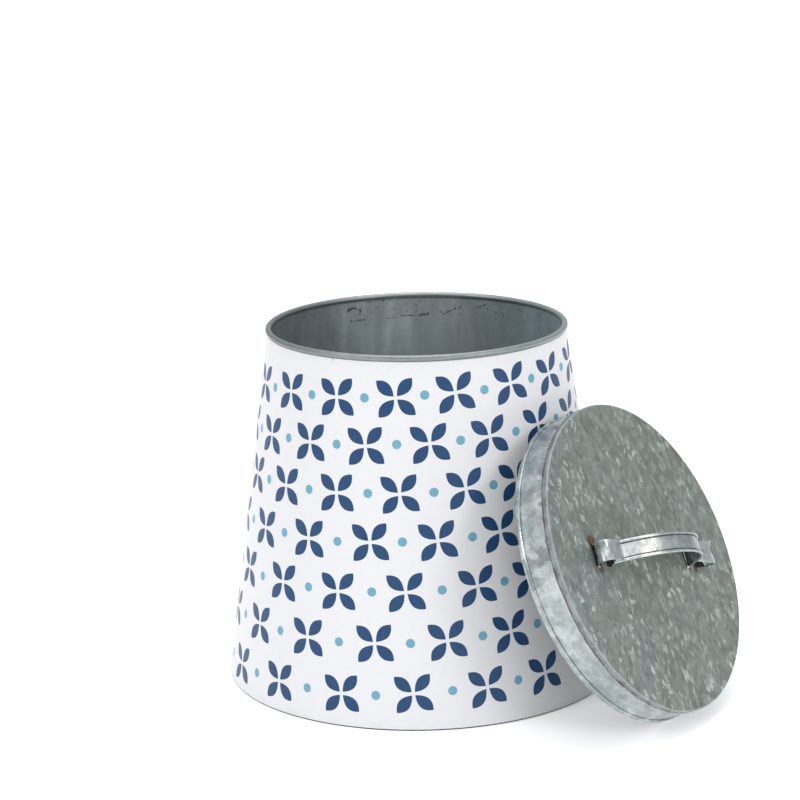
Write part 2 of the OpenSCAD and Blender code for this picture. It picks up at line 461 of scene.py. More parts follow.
def shade_and_dirt_paint(name, shade_and_dirt, clean, share):
    """Painted shade mixed with dirt and dark rust, for a crease or a slot, broken over a share of it where
    the metal shows through.
    """
    paint = Paint(name)
    bare = paint.band(paint.grain(2.2 * MM, 3, 0.7), 1 - share - 0.12, 1 - share + 0.12)
    rusty = paint.band(paint.grain(4 * MM, 3, 0.6, offset=(0.1, 0, 0)), 0.5, 0.65)
    tone = paint.blend(bare, paint.blend(rusty, shade_and_dirt, DARK_RUST), clean)
    return paint.finish(tone, paint.band(bare, 0, 1, 0.85, 0.5), [(paint.grain(0.8 * MM, 3), 0.03 * MM)])


def rust_at(paint, places, reach):
    """Rust that spreads unevenly from (place, size) pairs, each as far as its size times reach."""
    stain = 0.0
    for place, size in places:
        stain = paint.largest(paint.near(place, size * reach), stain)
    rough = paint.grain(1.6 * MM, 4, 0.7)
    return paint.band(paint.math("ADD", stain, paint.math("MULTIPLY", rough, 0.9)), 0.72, 1.3)


def patina_paint(stains):
    """Weathered zinc: olive grey with blue and brown clouds, and short pale crystals along one grain."""
    olive, grey_green = (0.155, 0.177, 0.15), (0.178, 0.207, 0.20)
    brown, blue = (0.175, 0.178, 0.142), (0.18, 0.215, 0.228)
    light_cloud, dark_cloud, fine_tone = (0.26, 0.295, 0.27), (0.11, 0.13, 0.11), (0.31, 0.35, 0.31)
    faint_fleck, dim_fleck, pale_fleck = (0.33, 0.375, 0.345), (0.10, 0.115, 0.10), (0.53, 0.59, 0.55)
    dark_flange, light_flange, painted_corner_highlight = (0.14, 0.165, 0.17), (0.27, 0.31, 0.32), (0.42, 0.47, 0.47)

    paint = Paint("patina_plate", metallic=0.55, place=lid_place)
    x, y, z = paint.axes()
    cloud = paint.grain(26 * MM, 3, 0.55)
    cloud_b = paint.grain(19 * MM, 3, 0.55, offset=(0.2, 0.1, 0))
    cloud_c = paint.grain(5 * MM, 3, 0.6, stretch=(1, 1.8, 1))
    fine = paint.grain(0.8 * MM, 3, 0.65, stretch=(1, 2.5, 1))
    thick = paint.band(paint.grain(15 * MM, 3, 0.6, offset=(0.4, 0, 0)), 0.38, 0.62, 0.15, 1.0)
    pale = paint.largest(paint.flecks(2.6 * MM, 4.6 * MM, math.radians(4), 0.3, 1),
                         paint.flecks(3.2 * MM, 3.8 * MM, math.radians(-18), 0.22, 2),
                         paint.flecks(1.8 * MM, 4.6 * MM, math.radians(26), 0.2, 3))
    faint = paint.largest(paint.flecks(4.4 * MM, 6.5 * MM, math.radians(-6), 0.9, 4),
                          paint.flecks(3.6 * MM, 4.6 * MM, math.radians(38), 0.8, 5))
    dim = paint.flecks(1.8 * MM, 5.5 * MM, math.radians(2), 0.4, 6)
    tone = paint.over(
        paint.blend(paint.band(cloud, 0.38, 0.66), olive, grey_green),
        (brown, paint.band(cloud_b, 0.52, 0.72), 0.5),
        (blue, paint.band(x, -10 * MM, -60 * MM), paint.band(cloud_b, 0.6, 0.4), 0.7),
        (light_cloud, paint.band(cloud_c, 0.45, 0.7), 0.45),
        (dark_cloud, paint.band(cloud_c, 0.45, 0.25), 0.5),
        (fine_tone, paint.band(fine, 0.5, 0.75), 0.3),
        (faint_fleck, faint, 0.42),
        (dim_fleck, dim, 0.6),
        (pale_fleck, pale, thick, 0.9))
    # The flange is smoother, the rim's corner gets a painted highlight, and the flange's foot has rusted
    out = paint.math("SQRT", paint.math("ADD", paint.math("POWER", x, 2.0), paint.math("POWER", y, 2.0)))
    flange = paint.band(out, PLATE_R - 0.3 * MM, PLATE_R - 0.12 * MM)
    shine = paint.band(paint.grain(7 * MM, 4, 0.6, offset=(0, 0.1, 0)), 0.35, 0.65)
    tone = paint.blend(flange, tone, paint.blend(shine, dark_flange, light_flange))
    corner = paint.product(paint.band(out, PLATE_R - 1.3 * MM, PLATE_R - 0.7 * MM),
                           paint.band(z, LID_H - 1.0 * MM, LID_H - 0.5 * MM))
    foot = paint.band(z, FLANGE_Z + 1.1 * MM, FLANGE_Z + 0.3 * MM)
    worn = paint.band(paint.grain(7 * MM, 3, 0.6), 0.42, 0.58)
    rust = rust_at(paint, stains, 3.4 * MM)
    tone = paint.over(tone, (painted_corner_highlight, corner, 0.35), (RUST, foot, worn, 0.85), (RUST, rust, 0.8))
    rough = paint.band(fine, 0.2, 0.8, 0.44, 0.6)
    relief = paint.math("SUBTRACT", pale, paint.math("MULTIPLY", dim, 0.5))
    return paint.finish(tone, paint.largest(rough, paint.product(rust, 0.85)),
                        [(relief, 0.012 * MM), (fine, 0.012 * MM), (paint.grain(15 * MM, 2), 0.12 * MM)])


def bright_zinc_paint(name, stains, pale=(), dull_and_shade=(), groove=None, grain_size=4.2 * MM):
    """Bright zinc with large, cloudy crystals, and rust in its creases.

    pale and dull spots are (place, radius) pairs in the lid's frame. Pale spots make the crystals whiter, and
    the one on the strap's left loop is a painted highlight; dull spots make them darker, and on the skirt
    they are painted shade.
    groove is the height and half the width of the seam line under the flange: rust along it, and painted
    shade in a dark rust colour above it, where the skirt goes in under the flange.
    """
    dark_cloud, light_cloud = (0.33, 0.38, 0.39), (0.52, 0.575, 0.585)
    white_crystal, light_crystal, dark_crystal = (0.80, 0.84, 0.84), (0.6, 0.65, 0.66), (0.24, 0.275, 0.285)
    dull_and_shade_tone, pale_and_highlight_tone, pit_tone = (0.23, 0.26, 0.265), (0.84, 0.84, 0.80), (0.18, 0.2, 0.2)

    paint = Paint(name, metallic=0.88, place=lid_place)
    _, value = paint.crystals(grain_size, (1, 1, 1.5), ragged=1.2)
    _, small_value = paint.crystals(grain_size * 0.5, (1, 1.4, 1), offset=(0.1, 0, 0), ragged=1.5)
    cloud = paint.grain(9 * MM, 4, 0.6)
    patch = paint.band(paint.grain(24 * MM, 2, 0.5, offset=(0, 0.3, 0)), 0.42, 0.62)
    fine = paint.grain(0.9 * MM, 3, 0.65)
    tone = paint.over(
        paint.blend(paint.band(cloud, 0.32, 0.68), dark_cloud, light_cloud),
        (white_crystal, paint.band(value, 0.25, 1.0), patch, 0.6),
        (light_crystal, paint.band(value, 0.3, 1.0), 0.22),
        (dark_crystal, paint.band(small_value, 0.6, 0.2), 0.35),
        *[(dull_and_shade_tone, paint.near(*spot), paint.band(cloud, 0.7, 0.3, 0.3, 0.75)) for spot in dull_and_shade],
        *[(pale_and_highlight_tone, paint.near(*spot), paint.band(small_value, 0.1, 0.6, 0.35, 0.95)) for spot in pale],
        (pit_tone, paint.band(fine, 0.6, 0.8), 0.4))
    if groove:
        height, half = groove
        z = paint.axes()[2]
        line = paint.band(paint.off(z, height), half, half * 0.2)
        broken = paint.band(paint.grain(8 * MM, 3, 0.6), 0.44, 0.6)
        # Painted shade in a dark rust colour where the skirt goes in under the flange
        gap = paint.band(z, height - half * 0.55, height - half * 0.15)
        tone = paint.over(tone, (RUST, line, broken, 0.7), (DARK_RUST, gap, 0.92))
    rust = rust_at(paint, stains, 2.4 * MM)
    tone = paint.over(tone, (RUST, rust, 0.85))
    rough = paint.band(value, 0, 1, 0.25, 0.4)
    return paint.finish(tone, paint.largest(rough, paint.product(rust, 0.85)),
                        [(cloud, 0.1 * MM), (small_value, 0.01 * MM), (fine, 0.008 * MM)])


# ---------------------------------------- canister

def build_wall(paint):
    """Tapered sheet with its foot folded in round the bottom, a lock seam inside, and a rolled rim."""
    half = SHEET / 2
    outer_z = BEAD_Z - math.sqrt((BEAD_R - SHEET) ** 2 - half ** 2)
    inner_z = BEAD_Z - math.sqrt(BEAD_R ** 2 - half ** 2)
    slot = SHEET + 2 * FOLD_GAP
    fold_top = DISC_Z - SHEET - 0.3 * MM
    corner = 0.45 * MM
    seam_foot, seam_top = DISC_Z + 0.4 * MM, inner_z - 0.4 * MM
    past_seam = 0.3 * MM

    def inner_r(z):
        return wall_r(z) - SHEET

    def fold_r(z):
        return inner_r(z) - slot - SHEET

    # In degrees round the rim's roll: where its two faces leave the wall, and where the sheet ends
    inner_end = math.degrees(math.atan2(inner_z - BEAD_Z, -half)) + 360
    outer_end = 360 + math.degrees(math.atan2(outer_z - BEAD_Z, half))
    curl_end = -58
    profile = [(wall_r(corner), corner)]
    profile += steps((wall_r(corner), corner), (RING_R + half, outer_z), 24)
    profile += arc((RING_R, BEAD_Z), BEAD_R - SHEET, outer_end, curl_end, 26)
    profile += arc((RING_R, BEAD_Z), BEAD_R, curl_end, inner_end, 36)
    profile += [(inner_r(seam_top + past_seam), seam_top + past_seam)]
    profile += steps((inner_r(seam_top), seam_top), (inner_r(seam_foot), seam_foot), 24)
    profile += [(inner_r(seam_foot), seam_foot), (inner_r(seam_foot - past_seam), seam_foot - past_seam)]
    profile += [(inner_r(SHEET), SHEET), (inner_r(SHEET) - slot, SHEET)]
    profile += [(inner_r(fold_top) - slot, fold_top), (fold_r(fold_top), fold_top)]
    profile += [(fold_r(corner), corner), (fold_r(0) + corner, 0), (wall_r(0) - corner, 0)]

    def shape(t, r, z):
        from_seam = (t - SEAM_AT) * inner_r(z)
        if math.hypot(r - RING_R, z - BEAD_Z) < BEAD_R + 0.02 * MM:
            # The roll is fullest over the seam, where it holds more sheet
            grow = 0.97 + 0.03 * math.exp(-(from_seam / (3 * MM)) ** 2)
            return RING_R + (r - RING_R) * grow - TUCK, BEAD_Z + (z - BEAD_Z) * grow
        hold = smoothstep(z, 0, 12 * MM) * smoothstep(z, inner_z, inner_z - 12 * MM)
        dent = 0.16 * MM * (waves(polar(t, r, z / 3), 34 * MM, 0.3) - 1) * hold
        lift = 0
        if r < wall_r(z) - 0.7 * SHEET and seam_foot < z < seam_top:
            edge = SEAM_W / 2 - abs(from_seam)
            lift = SEAM_T * smoothstep(edge, -0.1 * MM, 0.35 * MM)
            # The line where the hooked edge ends
            lift -= 0.35 * MM * math.exp(-((from_seam - 1.1 * MM) / (0.3 * MM)) ** 2)
            lift = max(lift, 0) * smoothstep(z, seam_top, seam_top - 1.2 * MM)
        return r + dent - lift, z

    near_seam = [SEAM_AT + i * 0.2 * MM / RING_R for i in range(-20, 21)]
    spread = near_seam[-1] - SEAM_AT
    around = turn(178, SEAM_AT + spread + math.radians(1), math.tau - 2 * spread - math.radians(1))
    verts, faces = lathe(profile, near_seam + around, shape)
    make_piece("can_shell", "can_wall", verts, faces, "canister", [paint])


# The print, a repeat of a four-petal flower and a dot. FIRST_AT and ROW_SHIFT are in degrees round the axis.
ROWS = 7
PITCH = math.radians(21.75)
FIRST_AT = -98.3
ROW_SHIFT = 0.93
ROW_1_Z = 160.5 * MM
PETAL_L = 11.4 * MM
PETAL_W = 5.9 * MM
PETAL_GAP = 1.05 * MM
DOT_R = 2.25 * MM
MOTIF_TURN = math.radians(5)
PRINT_SEED = 11


def leaf(start, length, width, count=9):
    """Outline of a leaf along X that is pointed at its inner end and blunter at its outer end."""
    def edge(i):
        u = i / count
        return start + length * u, width * 2 * u * (1 - u) * (0.86 + 0.28 * u)

    return [(x, -y) for x, y in map(edge, range(count))] + [edge(i) for i in range(count, 0, -1)]


def motif_place(row, column):
    """Angle and height of a motif. The rows climb to the right, and were not printed quite evenly."""
    at = math.radians(FIRST_AT + ROW_SHIFT * row) + PITCH * (column + 0.5 * (row % 2))
    side = at + math.pi / 2
    at -= math.radians(1.8) * (1 - math.cos(side))
    if row > 1:
        at -= math.radians(3) * math.exp(-((math.degrees(side) - 38) / 11) ** 2)
    drop = 22.4 * row + 0.22 * row * row
    climb = 3.6 * math.sin(side) - 2.2 * (1 - math.cos(side))
    return at, ROW_1_Z - drop * MM + climb * MM


def motifs(start):
    """Outlines of the printed petals and dots, as (angle, height) points, with their ink."""
    chance = random.Random(PRINT_SEED)
    petal = leaf(PETAL_GAP, PETAL_L, PETAL_W)
    dot = [(DOT_R * math.cos(t), DOT_R * math.sin(t)) for t in turn(20)]
    found = []
    for row in range(ROWS):
        for column in range(-20, 20):
            for ink, outline, count in ((1, petal, 4), (2, dot, 1)):
                at, z = motif_place(row, column + 0.5 * (ink - 1))
                at += chance.gauss(0, 0.3) * MM / wall_r(z)
                z += chance.gauss(0, 0.25) * MM
                if not start - 0.1 < at < start + math.tau + 0.2:
                    continue
                for k in range(count):
                    spin = MOTIF_TURN + math.radians(45 + 90 * k)
                    c, d = math.cos(spin), math.sin(spin)
                    found.append((ink, [(at + (c * x - d * y) / wall_r(z), z + d * x + c * y)
                                        for x, y in outline]))
    return found


def build_wrap(film, navy, sky, bare):
    """Printed film round the canister. The ink shapes are cut into its mesh, and one end laps the other."""
    lap = math.radians(5)
    start, sweep = SEAM_AT - math.tau, math.tau + lap
    columns, rows = 184, 20
    angles = [start + sweep * i / columns for i in range(columns + 1)]
    heights = [FILM_FOOT + (WRAP_TOP - FILM_FOOT) * j / rows for j in range(rows + 1)]
    # Radius at which the film is laid out flat, for cutting
    flat = 90 * MM
    points = [Vector((t * flat, z)) for t in angles for z in heights]
    cells = []
    for i in range(columns):
        for j in range(rows):
            a = i * (rows + 1) + j
            b = a + rows + 1
            cells.append((a, b, b + 1, a + 1))
    inks = {}
    chip_at = math.radians(-122.5)
    chip = [(chip_at + t, WRAP_TOP - depth * MM)
            for t, depth in ((-0.009, 0), (-0.004, 0.9), (0.003, 1.1), (0.010, 0))]
    for ink, outline in motifs(start) + [(3, chip)]:
        inks[len(cells)] = ink
        add_outline(points, cells, [(t * flat, z) for t, z in outline])
    flat_points, triangles, origins = triangulate(points, cells)
    low, high = angles[0] * flat, angles[-1] * flat
    grid = columns * rows
    faces, picks = [], []
    for face, origin in zip(triangles, origins):
        if min(origin) < grid:
            faces.append(face)
            picks.append(max(inks.get(cell, 0) for cell in origin))

    def place(p, depth):
        t, z = p.x / flat, p.y
        over = smoothstep(p.x, high - (lap + 0.03) * flat, high - lap * flat)
        ripple = 0.03 * MM * (waves((p.x, z, 0), 45 * MM) - 1)
        r = wall_r(z) + WRAP_T - TUCK + ripple + over * (WRAP_T + FOLD_GAP) - depth
        return polar(t, r, z)

    verts = [place(p, 0) for p in flat_points]
    # The film's edges, and its hidden back, which needs only straight strips
    eps = 1e-7

    def border(test, key):
        return sorted((i for i, p in enumerate(flat_points) if test(p)), key=key)

    foot = border(lambda p: p.y < FILM_FOOT + eps, lambda i: flat_points[i].x)
    top = border(lambda p: p.y > WRAP_TOP - eps, lambda i: flat_points[i].x)
    sides = [border(lambda p: abs(p.x - x) < eps, lambda i: flat_points[i].y) for x in (low, high)]
    back = {}
    for i in foot + top:
        back[i] = len(verts)
        verts.append(place(flat_points[i], WRAP_T * 0.8))
    for line in (foot, top):
        faces += [(a, b, back[b], back[a]) for a, b in zip(line, line[1:])]
    faces += [(*line, back[line[-1]], back[line[0]]) for line in sides]
    along = {back[i]: flat_points[i].x for i in back}
    faces += strip([back[i] for i in foot], [back[i] for i in top], along)
    picks += [0] * (len(faces) - len(picks))
    make_piece("wrap_film", "printed_wrap", verts, faces, "canister",
               [film, navy, sky, bare], picks, sharp=35)


# ---------------------------------------- lid

HANDLE_TURN = math.radians(-16.5)
SPAN = 72.8 * MM
STRAP_W = 10.4 * MM
STRAP_T = 0.7 * MM
RIDGE_R = 0.75 * MM
ARCH_H = extent("handle_strap", OUT)[1] - PLATE_TOP - RIDGE_R
ARCH_R = (SPAN ** 2 / 4 + ARCH_H ** 2) / (2 * ARCH_H)
ARCH_DROP = ARCH_R - ARCH_H
# Loop at each end of the strap: radius, and its centre past the arch's foot and above the plate
LOOP_R = 4 * MM
LOOP_REACH = 7.4 * MM
LOOP_H = 4.9 * MM
SLOTS = [(SPAN / 2 - 3.2 * MM, SPAN / 2 + 0.8 * MM), (SPAN / 2 + 5.2 * MM, SPAN / 2 + 9.6 * MM)]
SLOT_W = STRAP_W + 1.2 * MM


def on_handle(s, w, h=0.0):
    """Point in the lid's frame from its place along the handle, across it, and above the plate."""
    c, k = math.cos(HANDLE_TURN), math.sin(HANDLE_TURN)
    return (c * s - k * w, k * s + c * w, LID_H + h)


def slot_outline(low, high):
    """Slot punched for the strap, with its corners cut off."""
    half = SLOT_W / 2
    cut = 0.4 * MM
    return [on_handle(s, w)[:2] for s, w in (
        (low, cut - half), (low + cut, -half), (high - cut, -half), (high, cut - half),
        (high, half - cut), (high - cut, half), (low + cut, half), (low, half - cut))]


def tongues(first):
    """Verts, and faces counted on from first, of the tongues of sheet pushed down out of the four slots,
    which carry the painted shade that makes the slots look dark.
    """
    thick = 0.3 * MM
    hinge_h, tip_h = -0.3 * MM, -1.9 * MM
    half = SLOT_W / 2 + 1 * MM
    verts, faces = [], []
    for side in (-1, 1):
        # Each tongue is hinged on one end of its slot, and its tip hangs below the other end
        for hinge, tip in ((SLOTS[0][0], SLOTS[0][1] + 0.3 * MM), (SLOTS[1][1], SLOTS[1][0] + 0.4 * MM)):
            a = first + len(verts)
            for s, h in ((hinge, hinge_h), (tip, tip_h), (tip, tip_h - thick), (hinge, hinge_h - thick)):
                verts += [on_handle(side * s, w, h) for w in (-half, half)]
            faces += [tuple(a + i for i in f) for f in (
                (0, 1, 3, 2), (2, 3, 5, 4), (4, 5, 7, 6), (6, 7, 1, 0), (0, 2, 4, 6), (1, 7, 5, 3))]
    return verts, faces


def bridge(first, second):
    """Faces between two closed rings of verts."""
    count = len(first)
    return [(first[k], first[(k + 1) % count], second[(k + 1) % count], second[k]) for k in range(count)]


def build_plate(paint, slot_shade_and_rust):
    """Flat sheet with soft dents, four lanced slots, a rounded rim and a flange turned down over the skirt.

    The second material, painted shade with dark rust, is on the slots' walls and on the tongues of sheet
    pushed down out of them.
    """
    corner = 0.7 * MM
    flat_r = PLATE_R - TUCK - corner
    disc = [polar(t, flat_r, 0)[:2] for t in turn(240)]
    slots = [slot_outline(*sorted((side * low, side * high))) for side in (-1, 1) for low, high in SLOTS]
    points, cells = [], []
    for outline in (disc, *slots):
        add_outline(points, cells, outline)
    # Inner points on a grid of triangles, clear of the rim and the slots
    step = 3.2 * MM
    reach = int(flat_r / step) + 1
    for i in range(-reach, reach + 1):
        for j in range(-reach, reach + 1):
            p = Vector(((i + 0.5 * (j % 2)) * step, j * step * 0.87))
            clear = min((p - Vector(q)).length for slot in slots for q in slot)
            if p.length < flat_r - 1.5 * MM and clear > 1.4 * MM:
                points.append(p)
    flat_points, triangles, origins = triangulate(points, cells)
    slot_cells = set(range(1, len(cells)))
    sheet = [face for face, origin in zip(triangles, origins) if not slot_cells.intersection(origin)]

    def dent(p):
        """Soft waves, and a hollow pressed in under each end of the handle."""
        hold = smoothstep(p.length, flat_r, flat_r - 14 * MM)
        wave = 0.35 * waves((p.x, p.y, 0), 38 * MM, 0.7) + 0.12 * waves((p.x, p.y, 0), 12 * MM, 0.2)
        press = max(math.exp(-((p - Vector(on_handle(side * SPAN * 0.56, 0)[:2])).length / (9 * MM)) ** 2)
                    for side in (-1, 1))
        return (wave * hold - 0.25 * press) * MM

    verts = [(p.x, p.y, LID_H - 0.05 * MM * smoothstep(p.length, 0, flat_r) + dent(p)) for p in flat_points]
    count = len(verts)
    verts += [(x, y, z - SHEET) for x, y, z in verts]
    faces = sheet + [tuple(i + count for i in reversed(face)) for face in sheet]
    tongue_verts, shade_and_rust_faces = tongues(len(verts))
    verts += tongue_verts
    edges = [(a, b) for face in sheet for a, b in zip(face, (*face[1:], face[0]))]
    known = set(edges)
    border = [(a, b) for a, b in edges if (b, a) not in known]
    rim = [(a, b) for a, b in border if flat_points[a].length > flat_r - 0.1 * MM]
    shade_and_rust_faces += [(b, a, a + count, b + count) for a, b in border if (a, b) not in rim]

    # Rings of the rim and flange, from the top sheet's edge round to the under sheet's edge
    outside, inside = PLATE_R - TUCK, PLATE_R - SHEET
    edge_r = 0.2 * MM
    section = arc((flat_r, LID_H - corner), corner, 90, 0, 6)[1:]
    section += [(outside, LID_H - FLANGE_H * 0.6), (outside, FLANGE_Z + 0.25 * MM)]
    section += arc((outside - edge_r, FLANGE_Z + edge_r), edge_r, 0, -90, 3)
    section += [(inside, FLANGE_Z), (inside, FLANGE_Z + 0.3 * MM), (inside, LID_H - SHEET - 0.3 * MM)]
    angle = {a: math.atan2(flat_points[a].y, flat_points[a].x) for a, _ in rim}
    order = sorted(angle, key=angle.get)
    previous = order
    for r, z in section:
        ring = []
        for t in (angle[i] for i in order):
            ripple = 0.05 * MM * (waves(polar(t, r, z * 4), 16 * MM, 0.4) - 1)
            ring.append(len(verts))
            verts.append(polar(t, r + ripple, z))
        faces += bridge(previous, ring)
        previous = ring
    faces += bridge(previous, [i + count for i in order])
    picks = [0] * len(faces) + [1] * len(shade_and_rust_faces)
    make_piece("lid_top_sheet", "lid_plate", verts, faces + shade_and_rust_faces, "lid",
               [paint, slot_shade_and_rust], picks, place=lid_place, sharp=50)


def build_skirt(paint):
    """Band with its foot folded out and up into a hem, and a lap where its ends meet."""
    top = LID_H - SHEET - 0.04 * MM
    fold_r = SHEET + HEM_GAP / 2
    ring = HEM_R - fold_r
    outer = HEM_R - TUCK
    hem_inside = ring + HEM_GAP / 2
    profile = [(SKIRT_R, top)] + steps((SKIRT_R, top), (SKIRT_R, fold_r), 12)
    profile += arc((ring, fold_r), fold_r - TUCK, 180, 335, 10)
    profile += [(outer - 0.03 * MM, HEM_H * 0.3), (outer, HEM_H * 0.45), (outer - 0.05 * MM, HEM_H * 0.62)]
    profile += arc((outer - 0.45 * MM, HEM_H - 0.4 * MM), 0.4 * MM, 25, 120, 6)
    profile += [(hem_inside, HEM_H - 0.16 * MM)]
    profile += steps((hem_inside, HEM_H - 0.22 * MM), (hem_inside, fold_r), 3)
    profile += arc((ring, fold_r), HEM_GAP / 2, 0, -180, 6)
    profile += steps((SKIRT_R + SHEET, fold_r), (SKIRT_R + SHEET, top), 14) + [(SKIRT_R + SHEET, top)]
    lap_at = math.radians(150)

    def shape(t, r, z):
        hold = smoothstep(z, HEM_H, HEM_H + 4 * MM)
        hold *= smoothstep(z, FLANGE_Z + 1 * MM, FLANGE_Z - 3 * MM)
        dent = 0.22 * MM * (waves(polar(t, r, z), 17 * MM, 0.9) - 0.6) * hold
        step = 0
        if r > SKIRT_R + SHEET / 2 and HEM_H < z:
            step = -0.25 * MM * smoothstep(abs(t - lap_at) * SKIRT_R, 5.2 * MM, 5 * MM) * hold
        if r > ring and z <= HEM_H:
            dent = 0.06 * MM * (waves(polar(t, r, z), 9 * MM, 0.1) - 1)
        return r + dent + step, z

    verts, faces = lathe(profile, turn(260), shape)
    make_piece("lid_skirt_band", "lid_skirt", verts, faces, "lid", [paint],
               place=lid_place)


def rounded(corners, radii, count=5):
    """Path through corner points whose bends are curves, given one radius for each inner corner."""
    path = [Vector(corners[0])]
    for before, corner, after, radius in zip(corners, corners[1:], corners[2:], radii):
        u, v = before - corner, after - corner
        half = u.angle(v) / 2
        cut = min(radius / math.tan(half), u.length * 0.45, v.length * 0.45)
        p, q = corner + u.normalized() * cut, corner + v.normalized() * cut
        for i in range(count + 1):
            k = i / count
            path.append(p * (1 - k) ** 2 + corner * 2 * k * (1 - k) + q * k * k)
    return path + [Vector(corners[-1])]


def end_path():
    """Middle line of one end of the strap, as (along, up) points.

    It runs from the tip, which rests on the arch, round the loop and under the plate, to the arch's foot.
    """
    low = -SHEET - 0.15 * MM - STRAP_T / 2
    mid_r = ARCH_R - STRAP_T / 2
    centre = Vector((SPAN / 2 + LOOP_REACH, LOOP_H))
    loop = [Vector(p) for p in arc(centre, LOOP_R, 98, -48, 16)]
    tip_angle, riser_angle = math.radians(188), math.radians(42)
    tip_way = Vector((math.cos(tip_angle), math.sin(tip_angle)))
    tip = loop[0]
    while (tip + Vector((0, ARCH_DROP))).length > ARCH_R + RIDGE_R + STRAP_T / 2:
        tip = tip + tip_way * 0.1 * MM
    riser_way = Vector((-math.cos(riser_angle), -math.sin(riser_angle)))
    riser_foot = loop[-1] + riser_way * ((loop[-1].y - low) / math.sin(riser_angle))
    foot = Vector((math.sqrt(mid_r ** 2 - (low + ARCH_DROP) ** 2), low))
    edge = math.asin((ARCH_DROP + 2.6 * MM) / mid_r)
    leg = Vector((mid_r * math.cos(edge), mid_r * math.sin(edge) - ARCH_DROP))
    tail = rounded([loop[-1], riser_foot, foot, leg], (1.1 * MM, 0.7 * MM))
    return [tip + tip_way * 0.2 * MM, *loop, *tail[1:]]


RIDGE_STEPS = 13
FLAT_STEPS = 6


def strap_section(ridge, width, thick):
    """Outline across the strap as (across, up) points: a flat band with a rolled ridge at each edge."""
    radius = max(RIDGE_R * ridge, thick / 2)
    edge = width / 2 - radius
    centre = thick / 2 - radius + RIDGE_R * ridge
    right = arc((edge, centre), radius, -90, 200, RIDGE_STEPS)
    right += [(edge - radius * 1.02 - 0.08 * MM, thick / 2), (edge - radius - 0.55 * MM, thick / 2)]
    left = [(-x, y) for x, y in reversed(right)]
    return right + steps(right[-1], left[0], FLAT_STEPS) + left + steps(left[-1], right[0], FLAT_STEPS)


def strap_point(s, across, h, width, ridge):
    """Point of the strap in the lid's frame, with the wear of its ends."""
    # Each loop is wider at its edges than in its middle, like a spool
    spool = 0.55 * MM * abs(across / STRAP_W * 2) ** 3
    spool *= smoothstep(abs(s), SPAN / 2 + 3 * MM, SPAN / 2 + 7 * MM) * smoothstep(h, 0.5 * MM, 3 * MM)
    s += math.copysign(spool, s)
    h += spool * smoothstep(h, 3 * MM, 7 * MM)
    # The far end was crushed: its sheet is creased, and its near corner is splayed out
    above = smoothstep(h, 0.3 * MM, 2.5 * MM)
    flare = smoothstep(s, SPAN / 2 + 2 * MM, SPAN / 2 + 9 * MM) * above
    flare *= smoothstep(across, 1 * MM, -width / 2)
    wobble = 0.1 * MM * (waves((s, across, h), 6 * MM, 0.5) - ridge)
    creased = smoothstep(s, SPAN / 2 + 1 * MM, SPAN / 2 + 5 * MM) * above
    crush = (1.3 * waves((s, across, h), 4.5 * MM, 1.5) - 0.2) * MM * creased
    return on_handle(s + flare * 2.1 * MM + crush, across - flare * 1.1 * MM,
                     h - flare * 1.1 * MM + wobble + crush * 0.8)


def build_handle(paint, crease, slot_shade_and_rust):
    """One strap: an arch with rolled edges, its ends threaded down and up through the plate and rolled back.

    The third material, painted shade with dark rust, is on what lies under the plate or less than 0.8 mm
    above it, and the crease material, painted shade with dirt, in the corners of the ridges.
    """
    end = end_path()
    first = math.atan2(end[-1].y + ARCH_DROP, end[-1].x)
    mid_r = ARCH_R - STRAP_T / 2
    arch = [Vector((mid_r * math.cos(t), mid_r * math.sin(t) - ARCH_DROP))
            for t in [first + (math.pi - 2 * first) * i / 60 for i in range(1, 60)]]
    path = end + arch + [Vector((-p.x, p.y)) for p in reversed(end)]
    run = [0.0]
    for p, q in zip(path, path[1:]):
        run.append(run[-1] + (q - p).length)
    plain = run[len(end) - 1]
    section = strap_section(1, STRAP_W, STRAP_T)
    k, top = len(section), max(y for _, y in section)
    creases = (RIDGE_STEPS, RIDGE_STEPS + 1, k // 2, k // 2 + 1)
    verts, faces, picks = [], [], []
    for i, p in enumerate(path):
        way = (path[min(i + 1, len(path) - 1)] - path[max(i - 1, 0)]).normalized()
        up = Vector((way.y, -way.x))
        from_tip = min(run[i], run[-1] - run[i])
        ridge = smoothstep(from_tip, plain - 1.5 * MM, plain + 1.5 * MM)
        width = STRAP_W - 0.25 * MM * (1 - ridge)
        for across, rise in strap_section(ridge, width, STRAP_T - 0.06 * MM):
            s, h = p + up * min(rise, top - TUCK)
            verts.append(strap_point(s, across, h, width, ridge))
        if i:
            a, b = (i - 1) * k, i * k
            faces += [(a + j, a + (j + 1) % k, b + (j + 1) % k, b + j) for j in range(k)]
            # Painted shade with dark rust low on the strap, and painted shade with dirt in the ridges'
            # corners
            deep = p.y < 0.8 * MM
            picks += [2 if deep else 1 if ridge > 0.5 and j in creases else 0 for j in range(k)]
    faces += [tuple(reversed(range(k))), tuple(range(len(verts) - k, len(verts)))]
    picks += [0, 0]
    make_piece("handle_loop_strap", "handle_strap", verts, faces, "lid",
               [paint, crease, slot_shade_and_rust], picks, place=lid_place, sharp=50)


# ---------------------------------------- stage

FLOOR_HALF = 9
FLOOR_GLOW = 0.26
HORIZON = (0.6, 0.61, 0.63, 1)
ZENITH = (1, 1, 1, 1)
SKY_STRENGTH = 0.92
# Each lamp: its place, the point that it is aimed at, its diameter and its power
LAMPS = {
    "left": ((-1.2, -0.8, 1.0), (0, 0, 0.1), 0.55, 4.5),
    "right": ((1.2, -1.2, 0.7), (0, 0, 0.1), 0.5, 5.5),
    "front": ((0.2, -1.5, 1.6), (0, 0, 0.1), 0.8, 3),
    "top": ((0.0, 0.2, 1.5), (0, 0, 0.0), 1.1, 9),
}
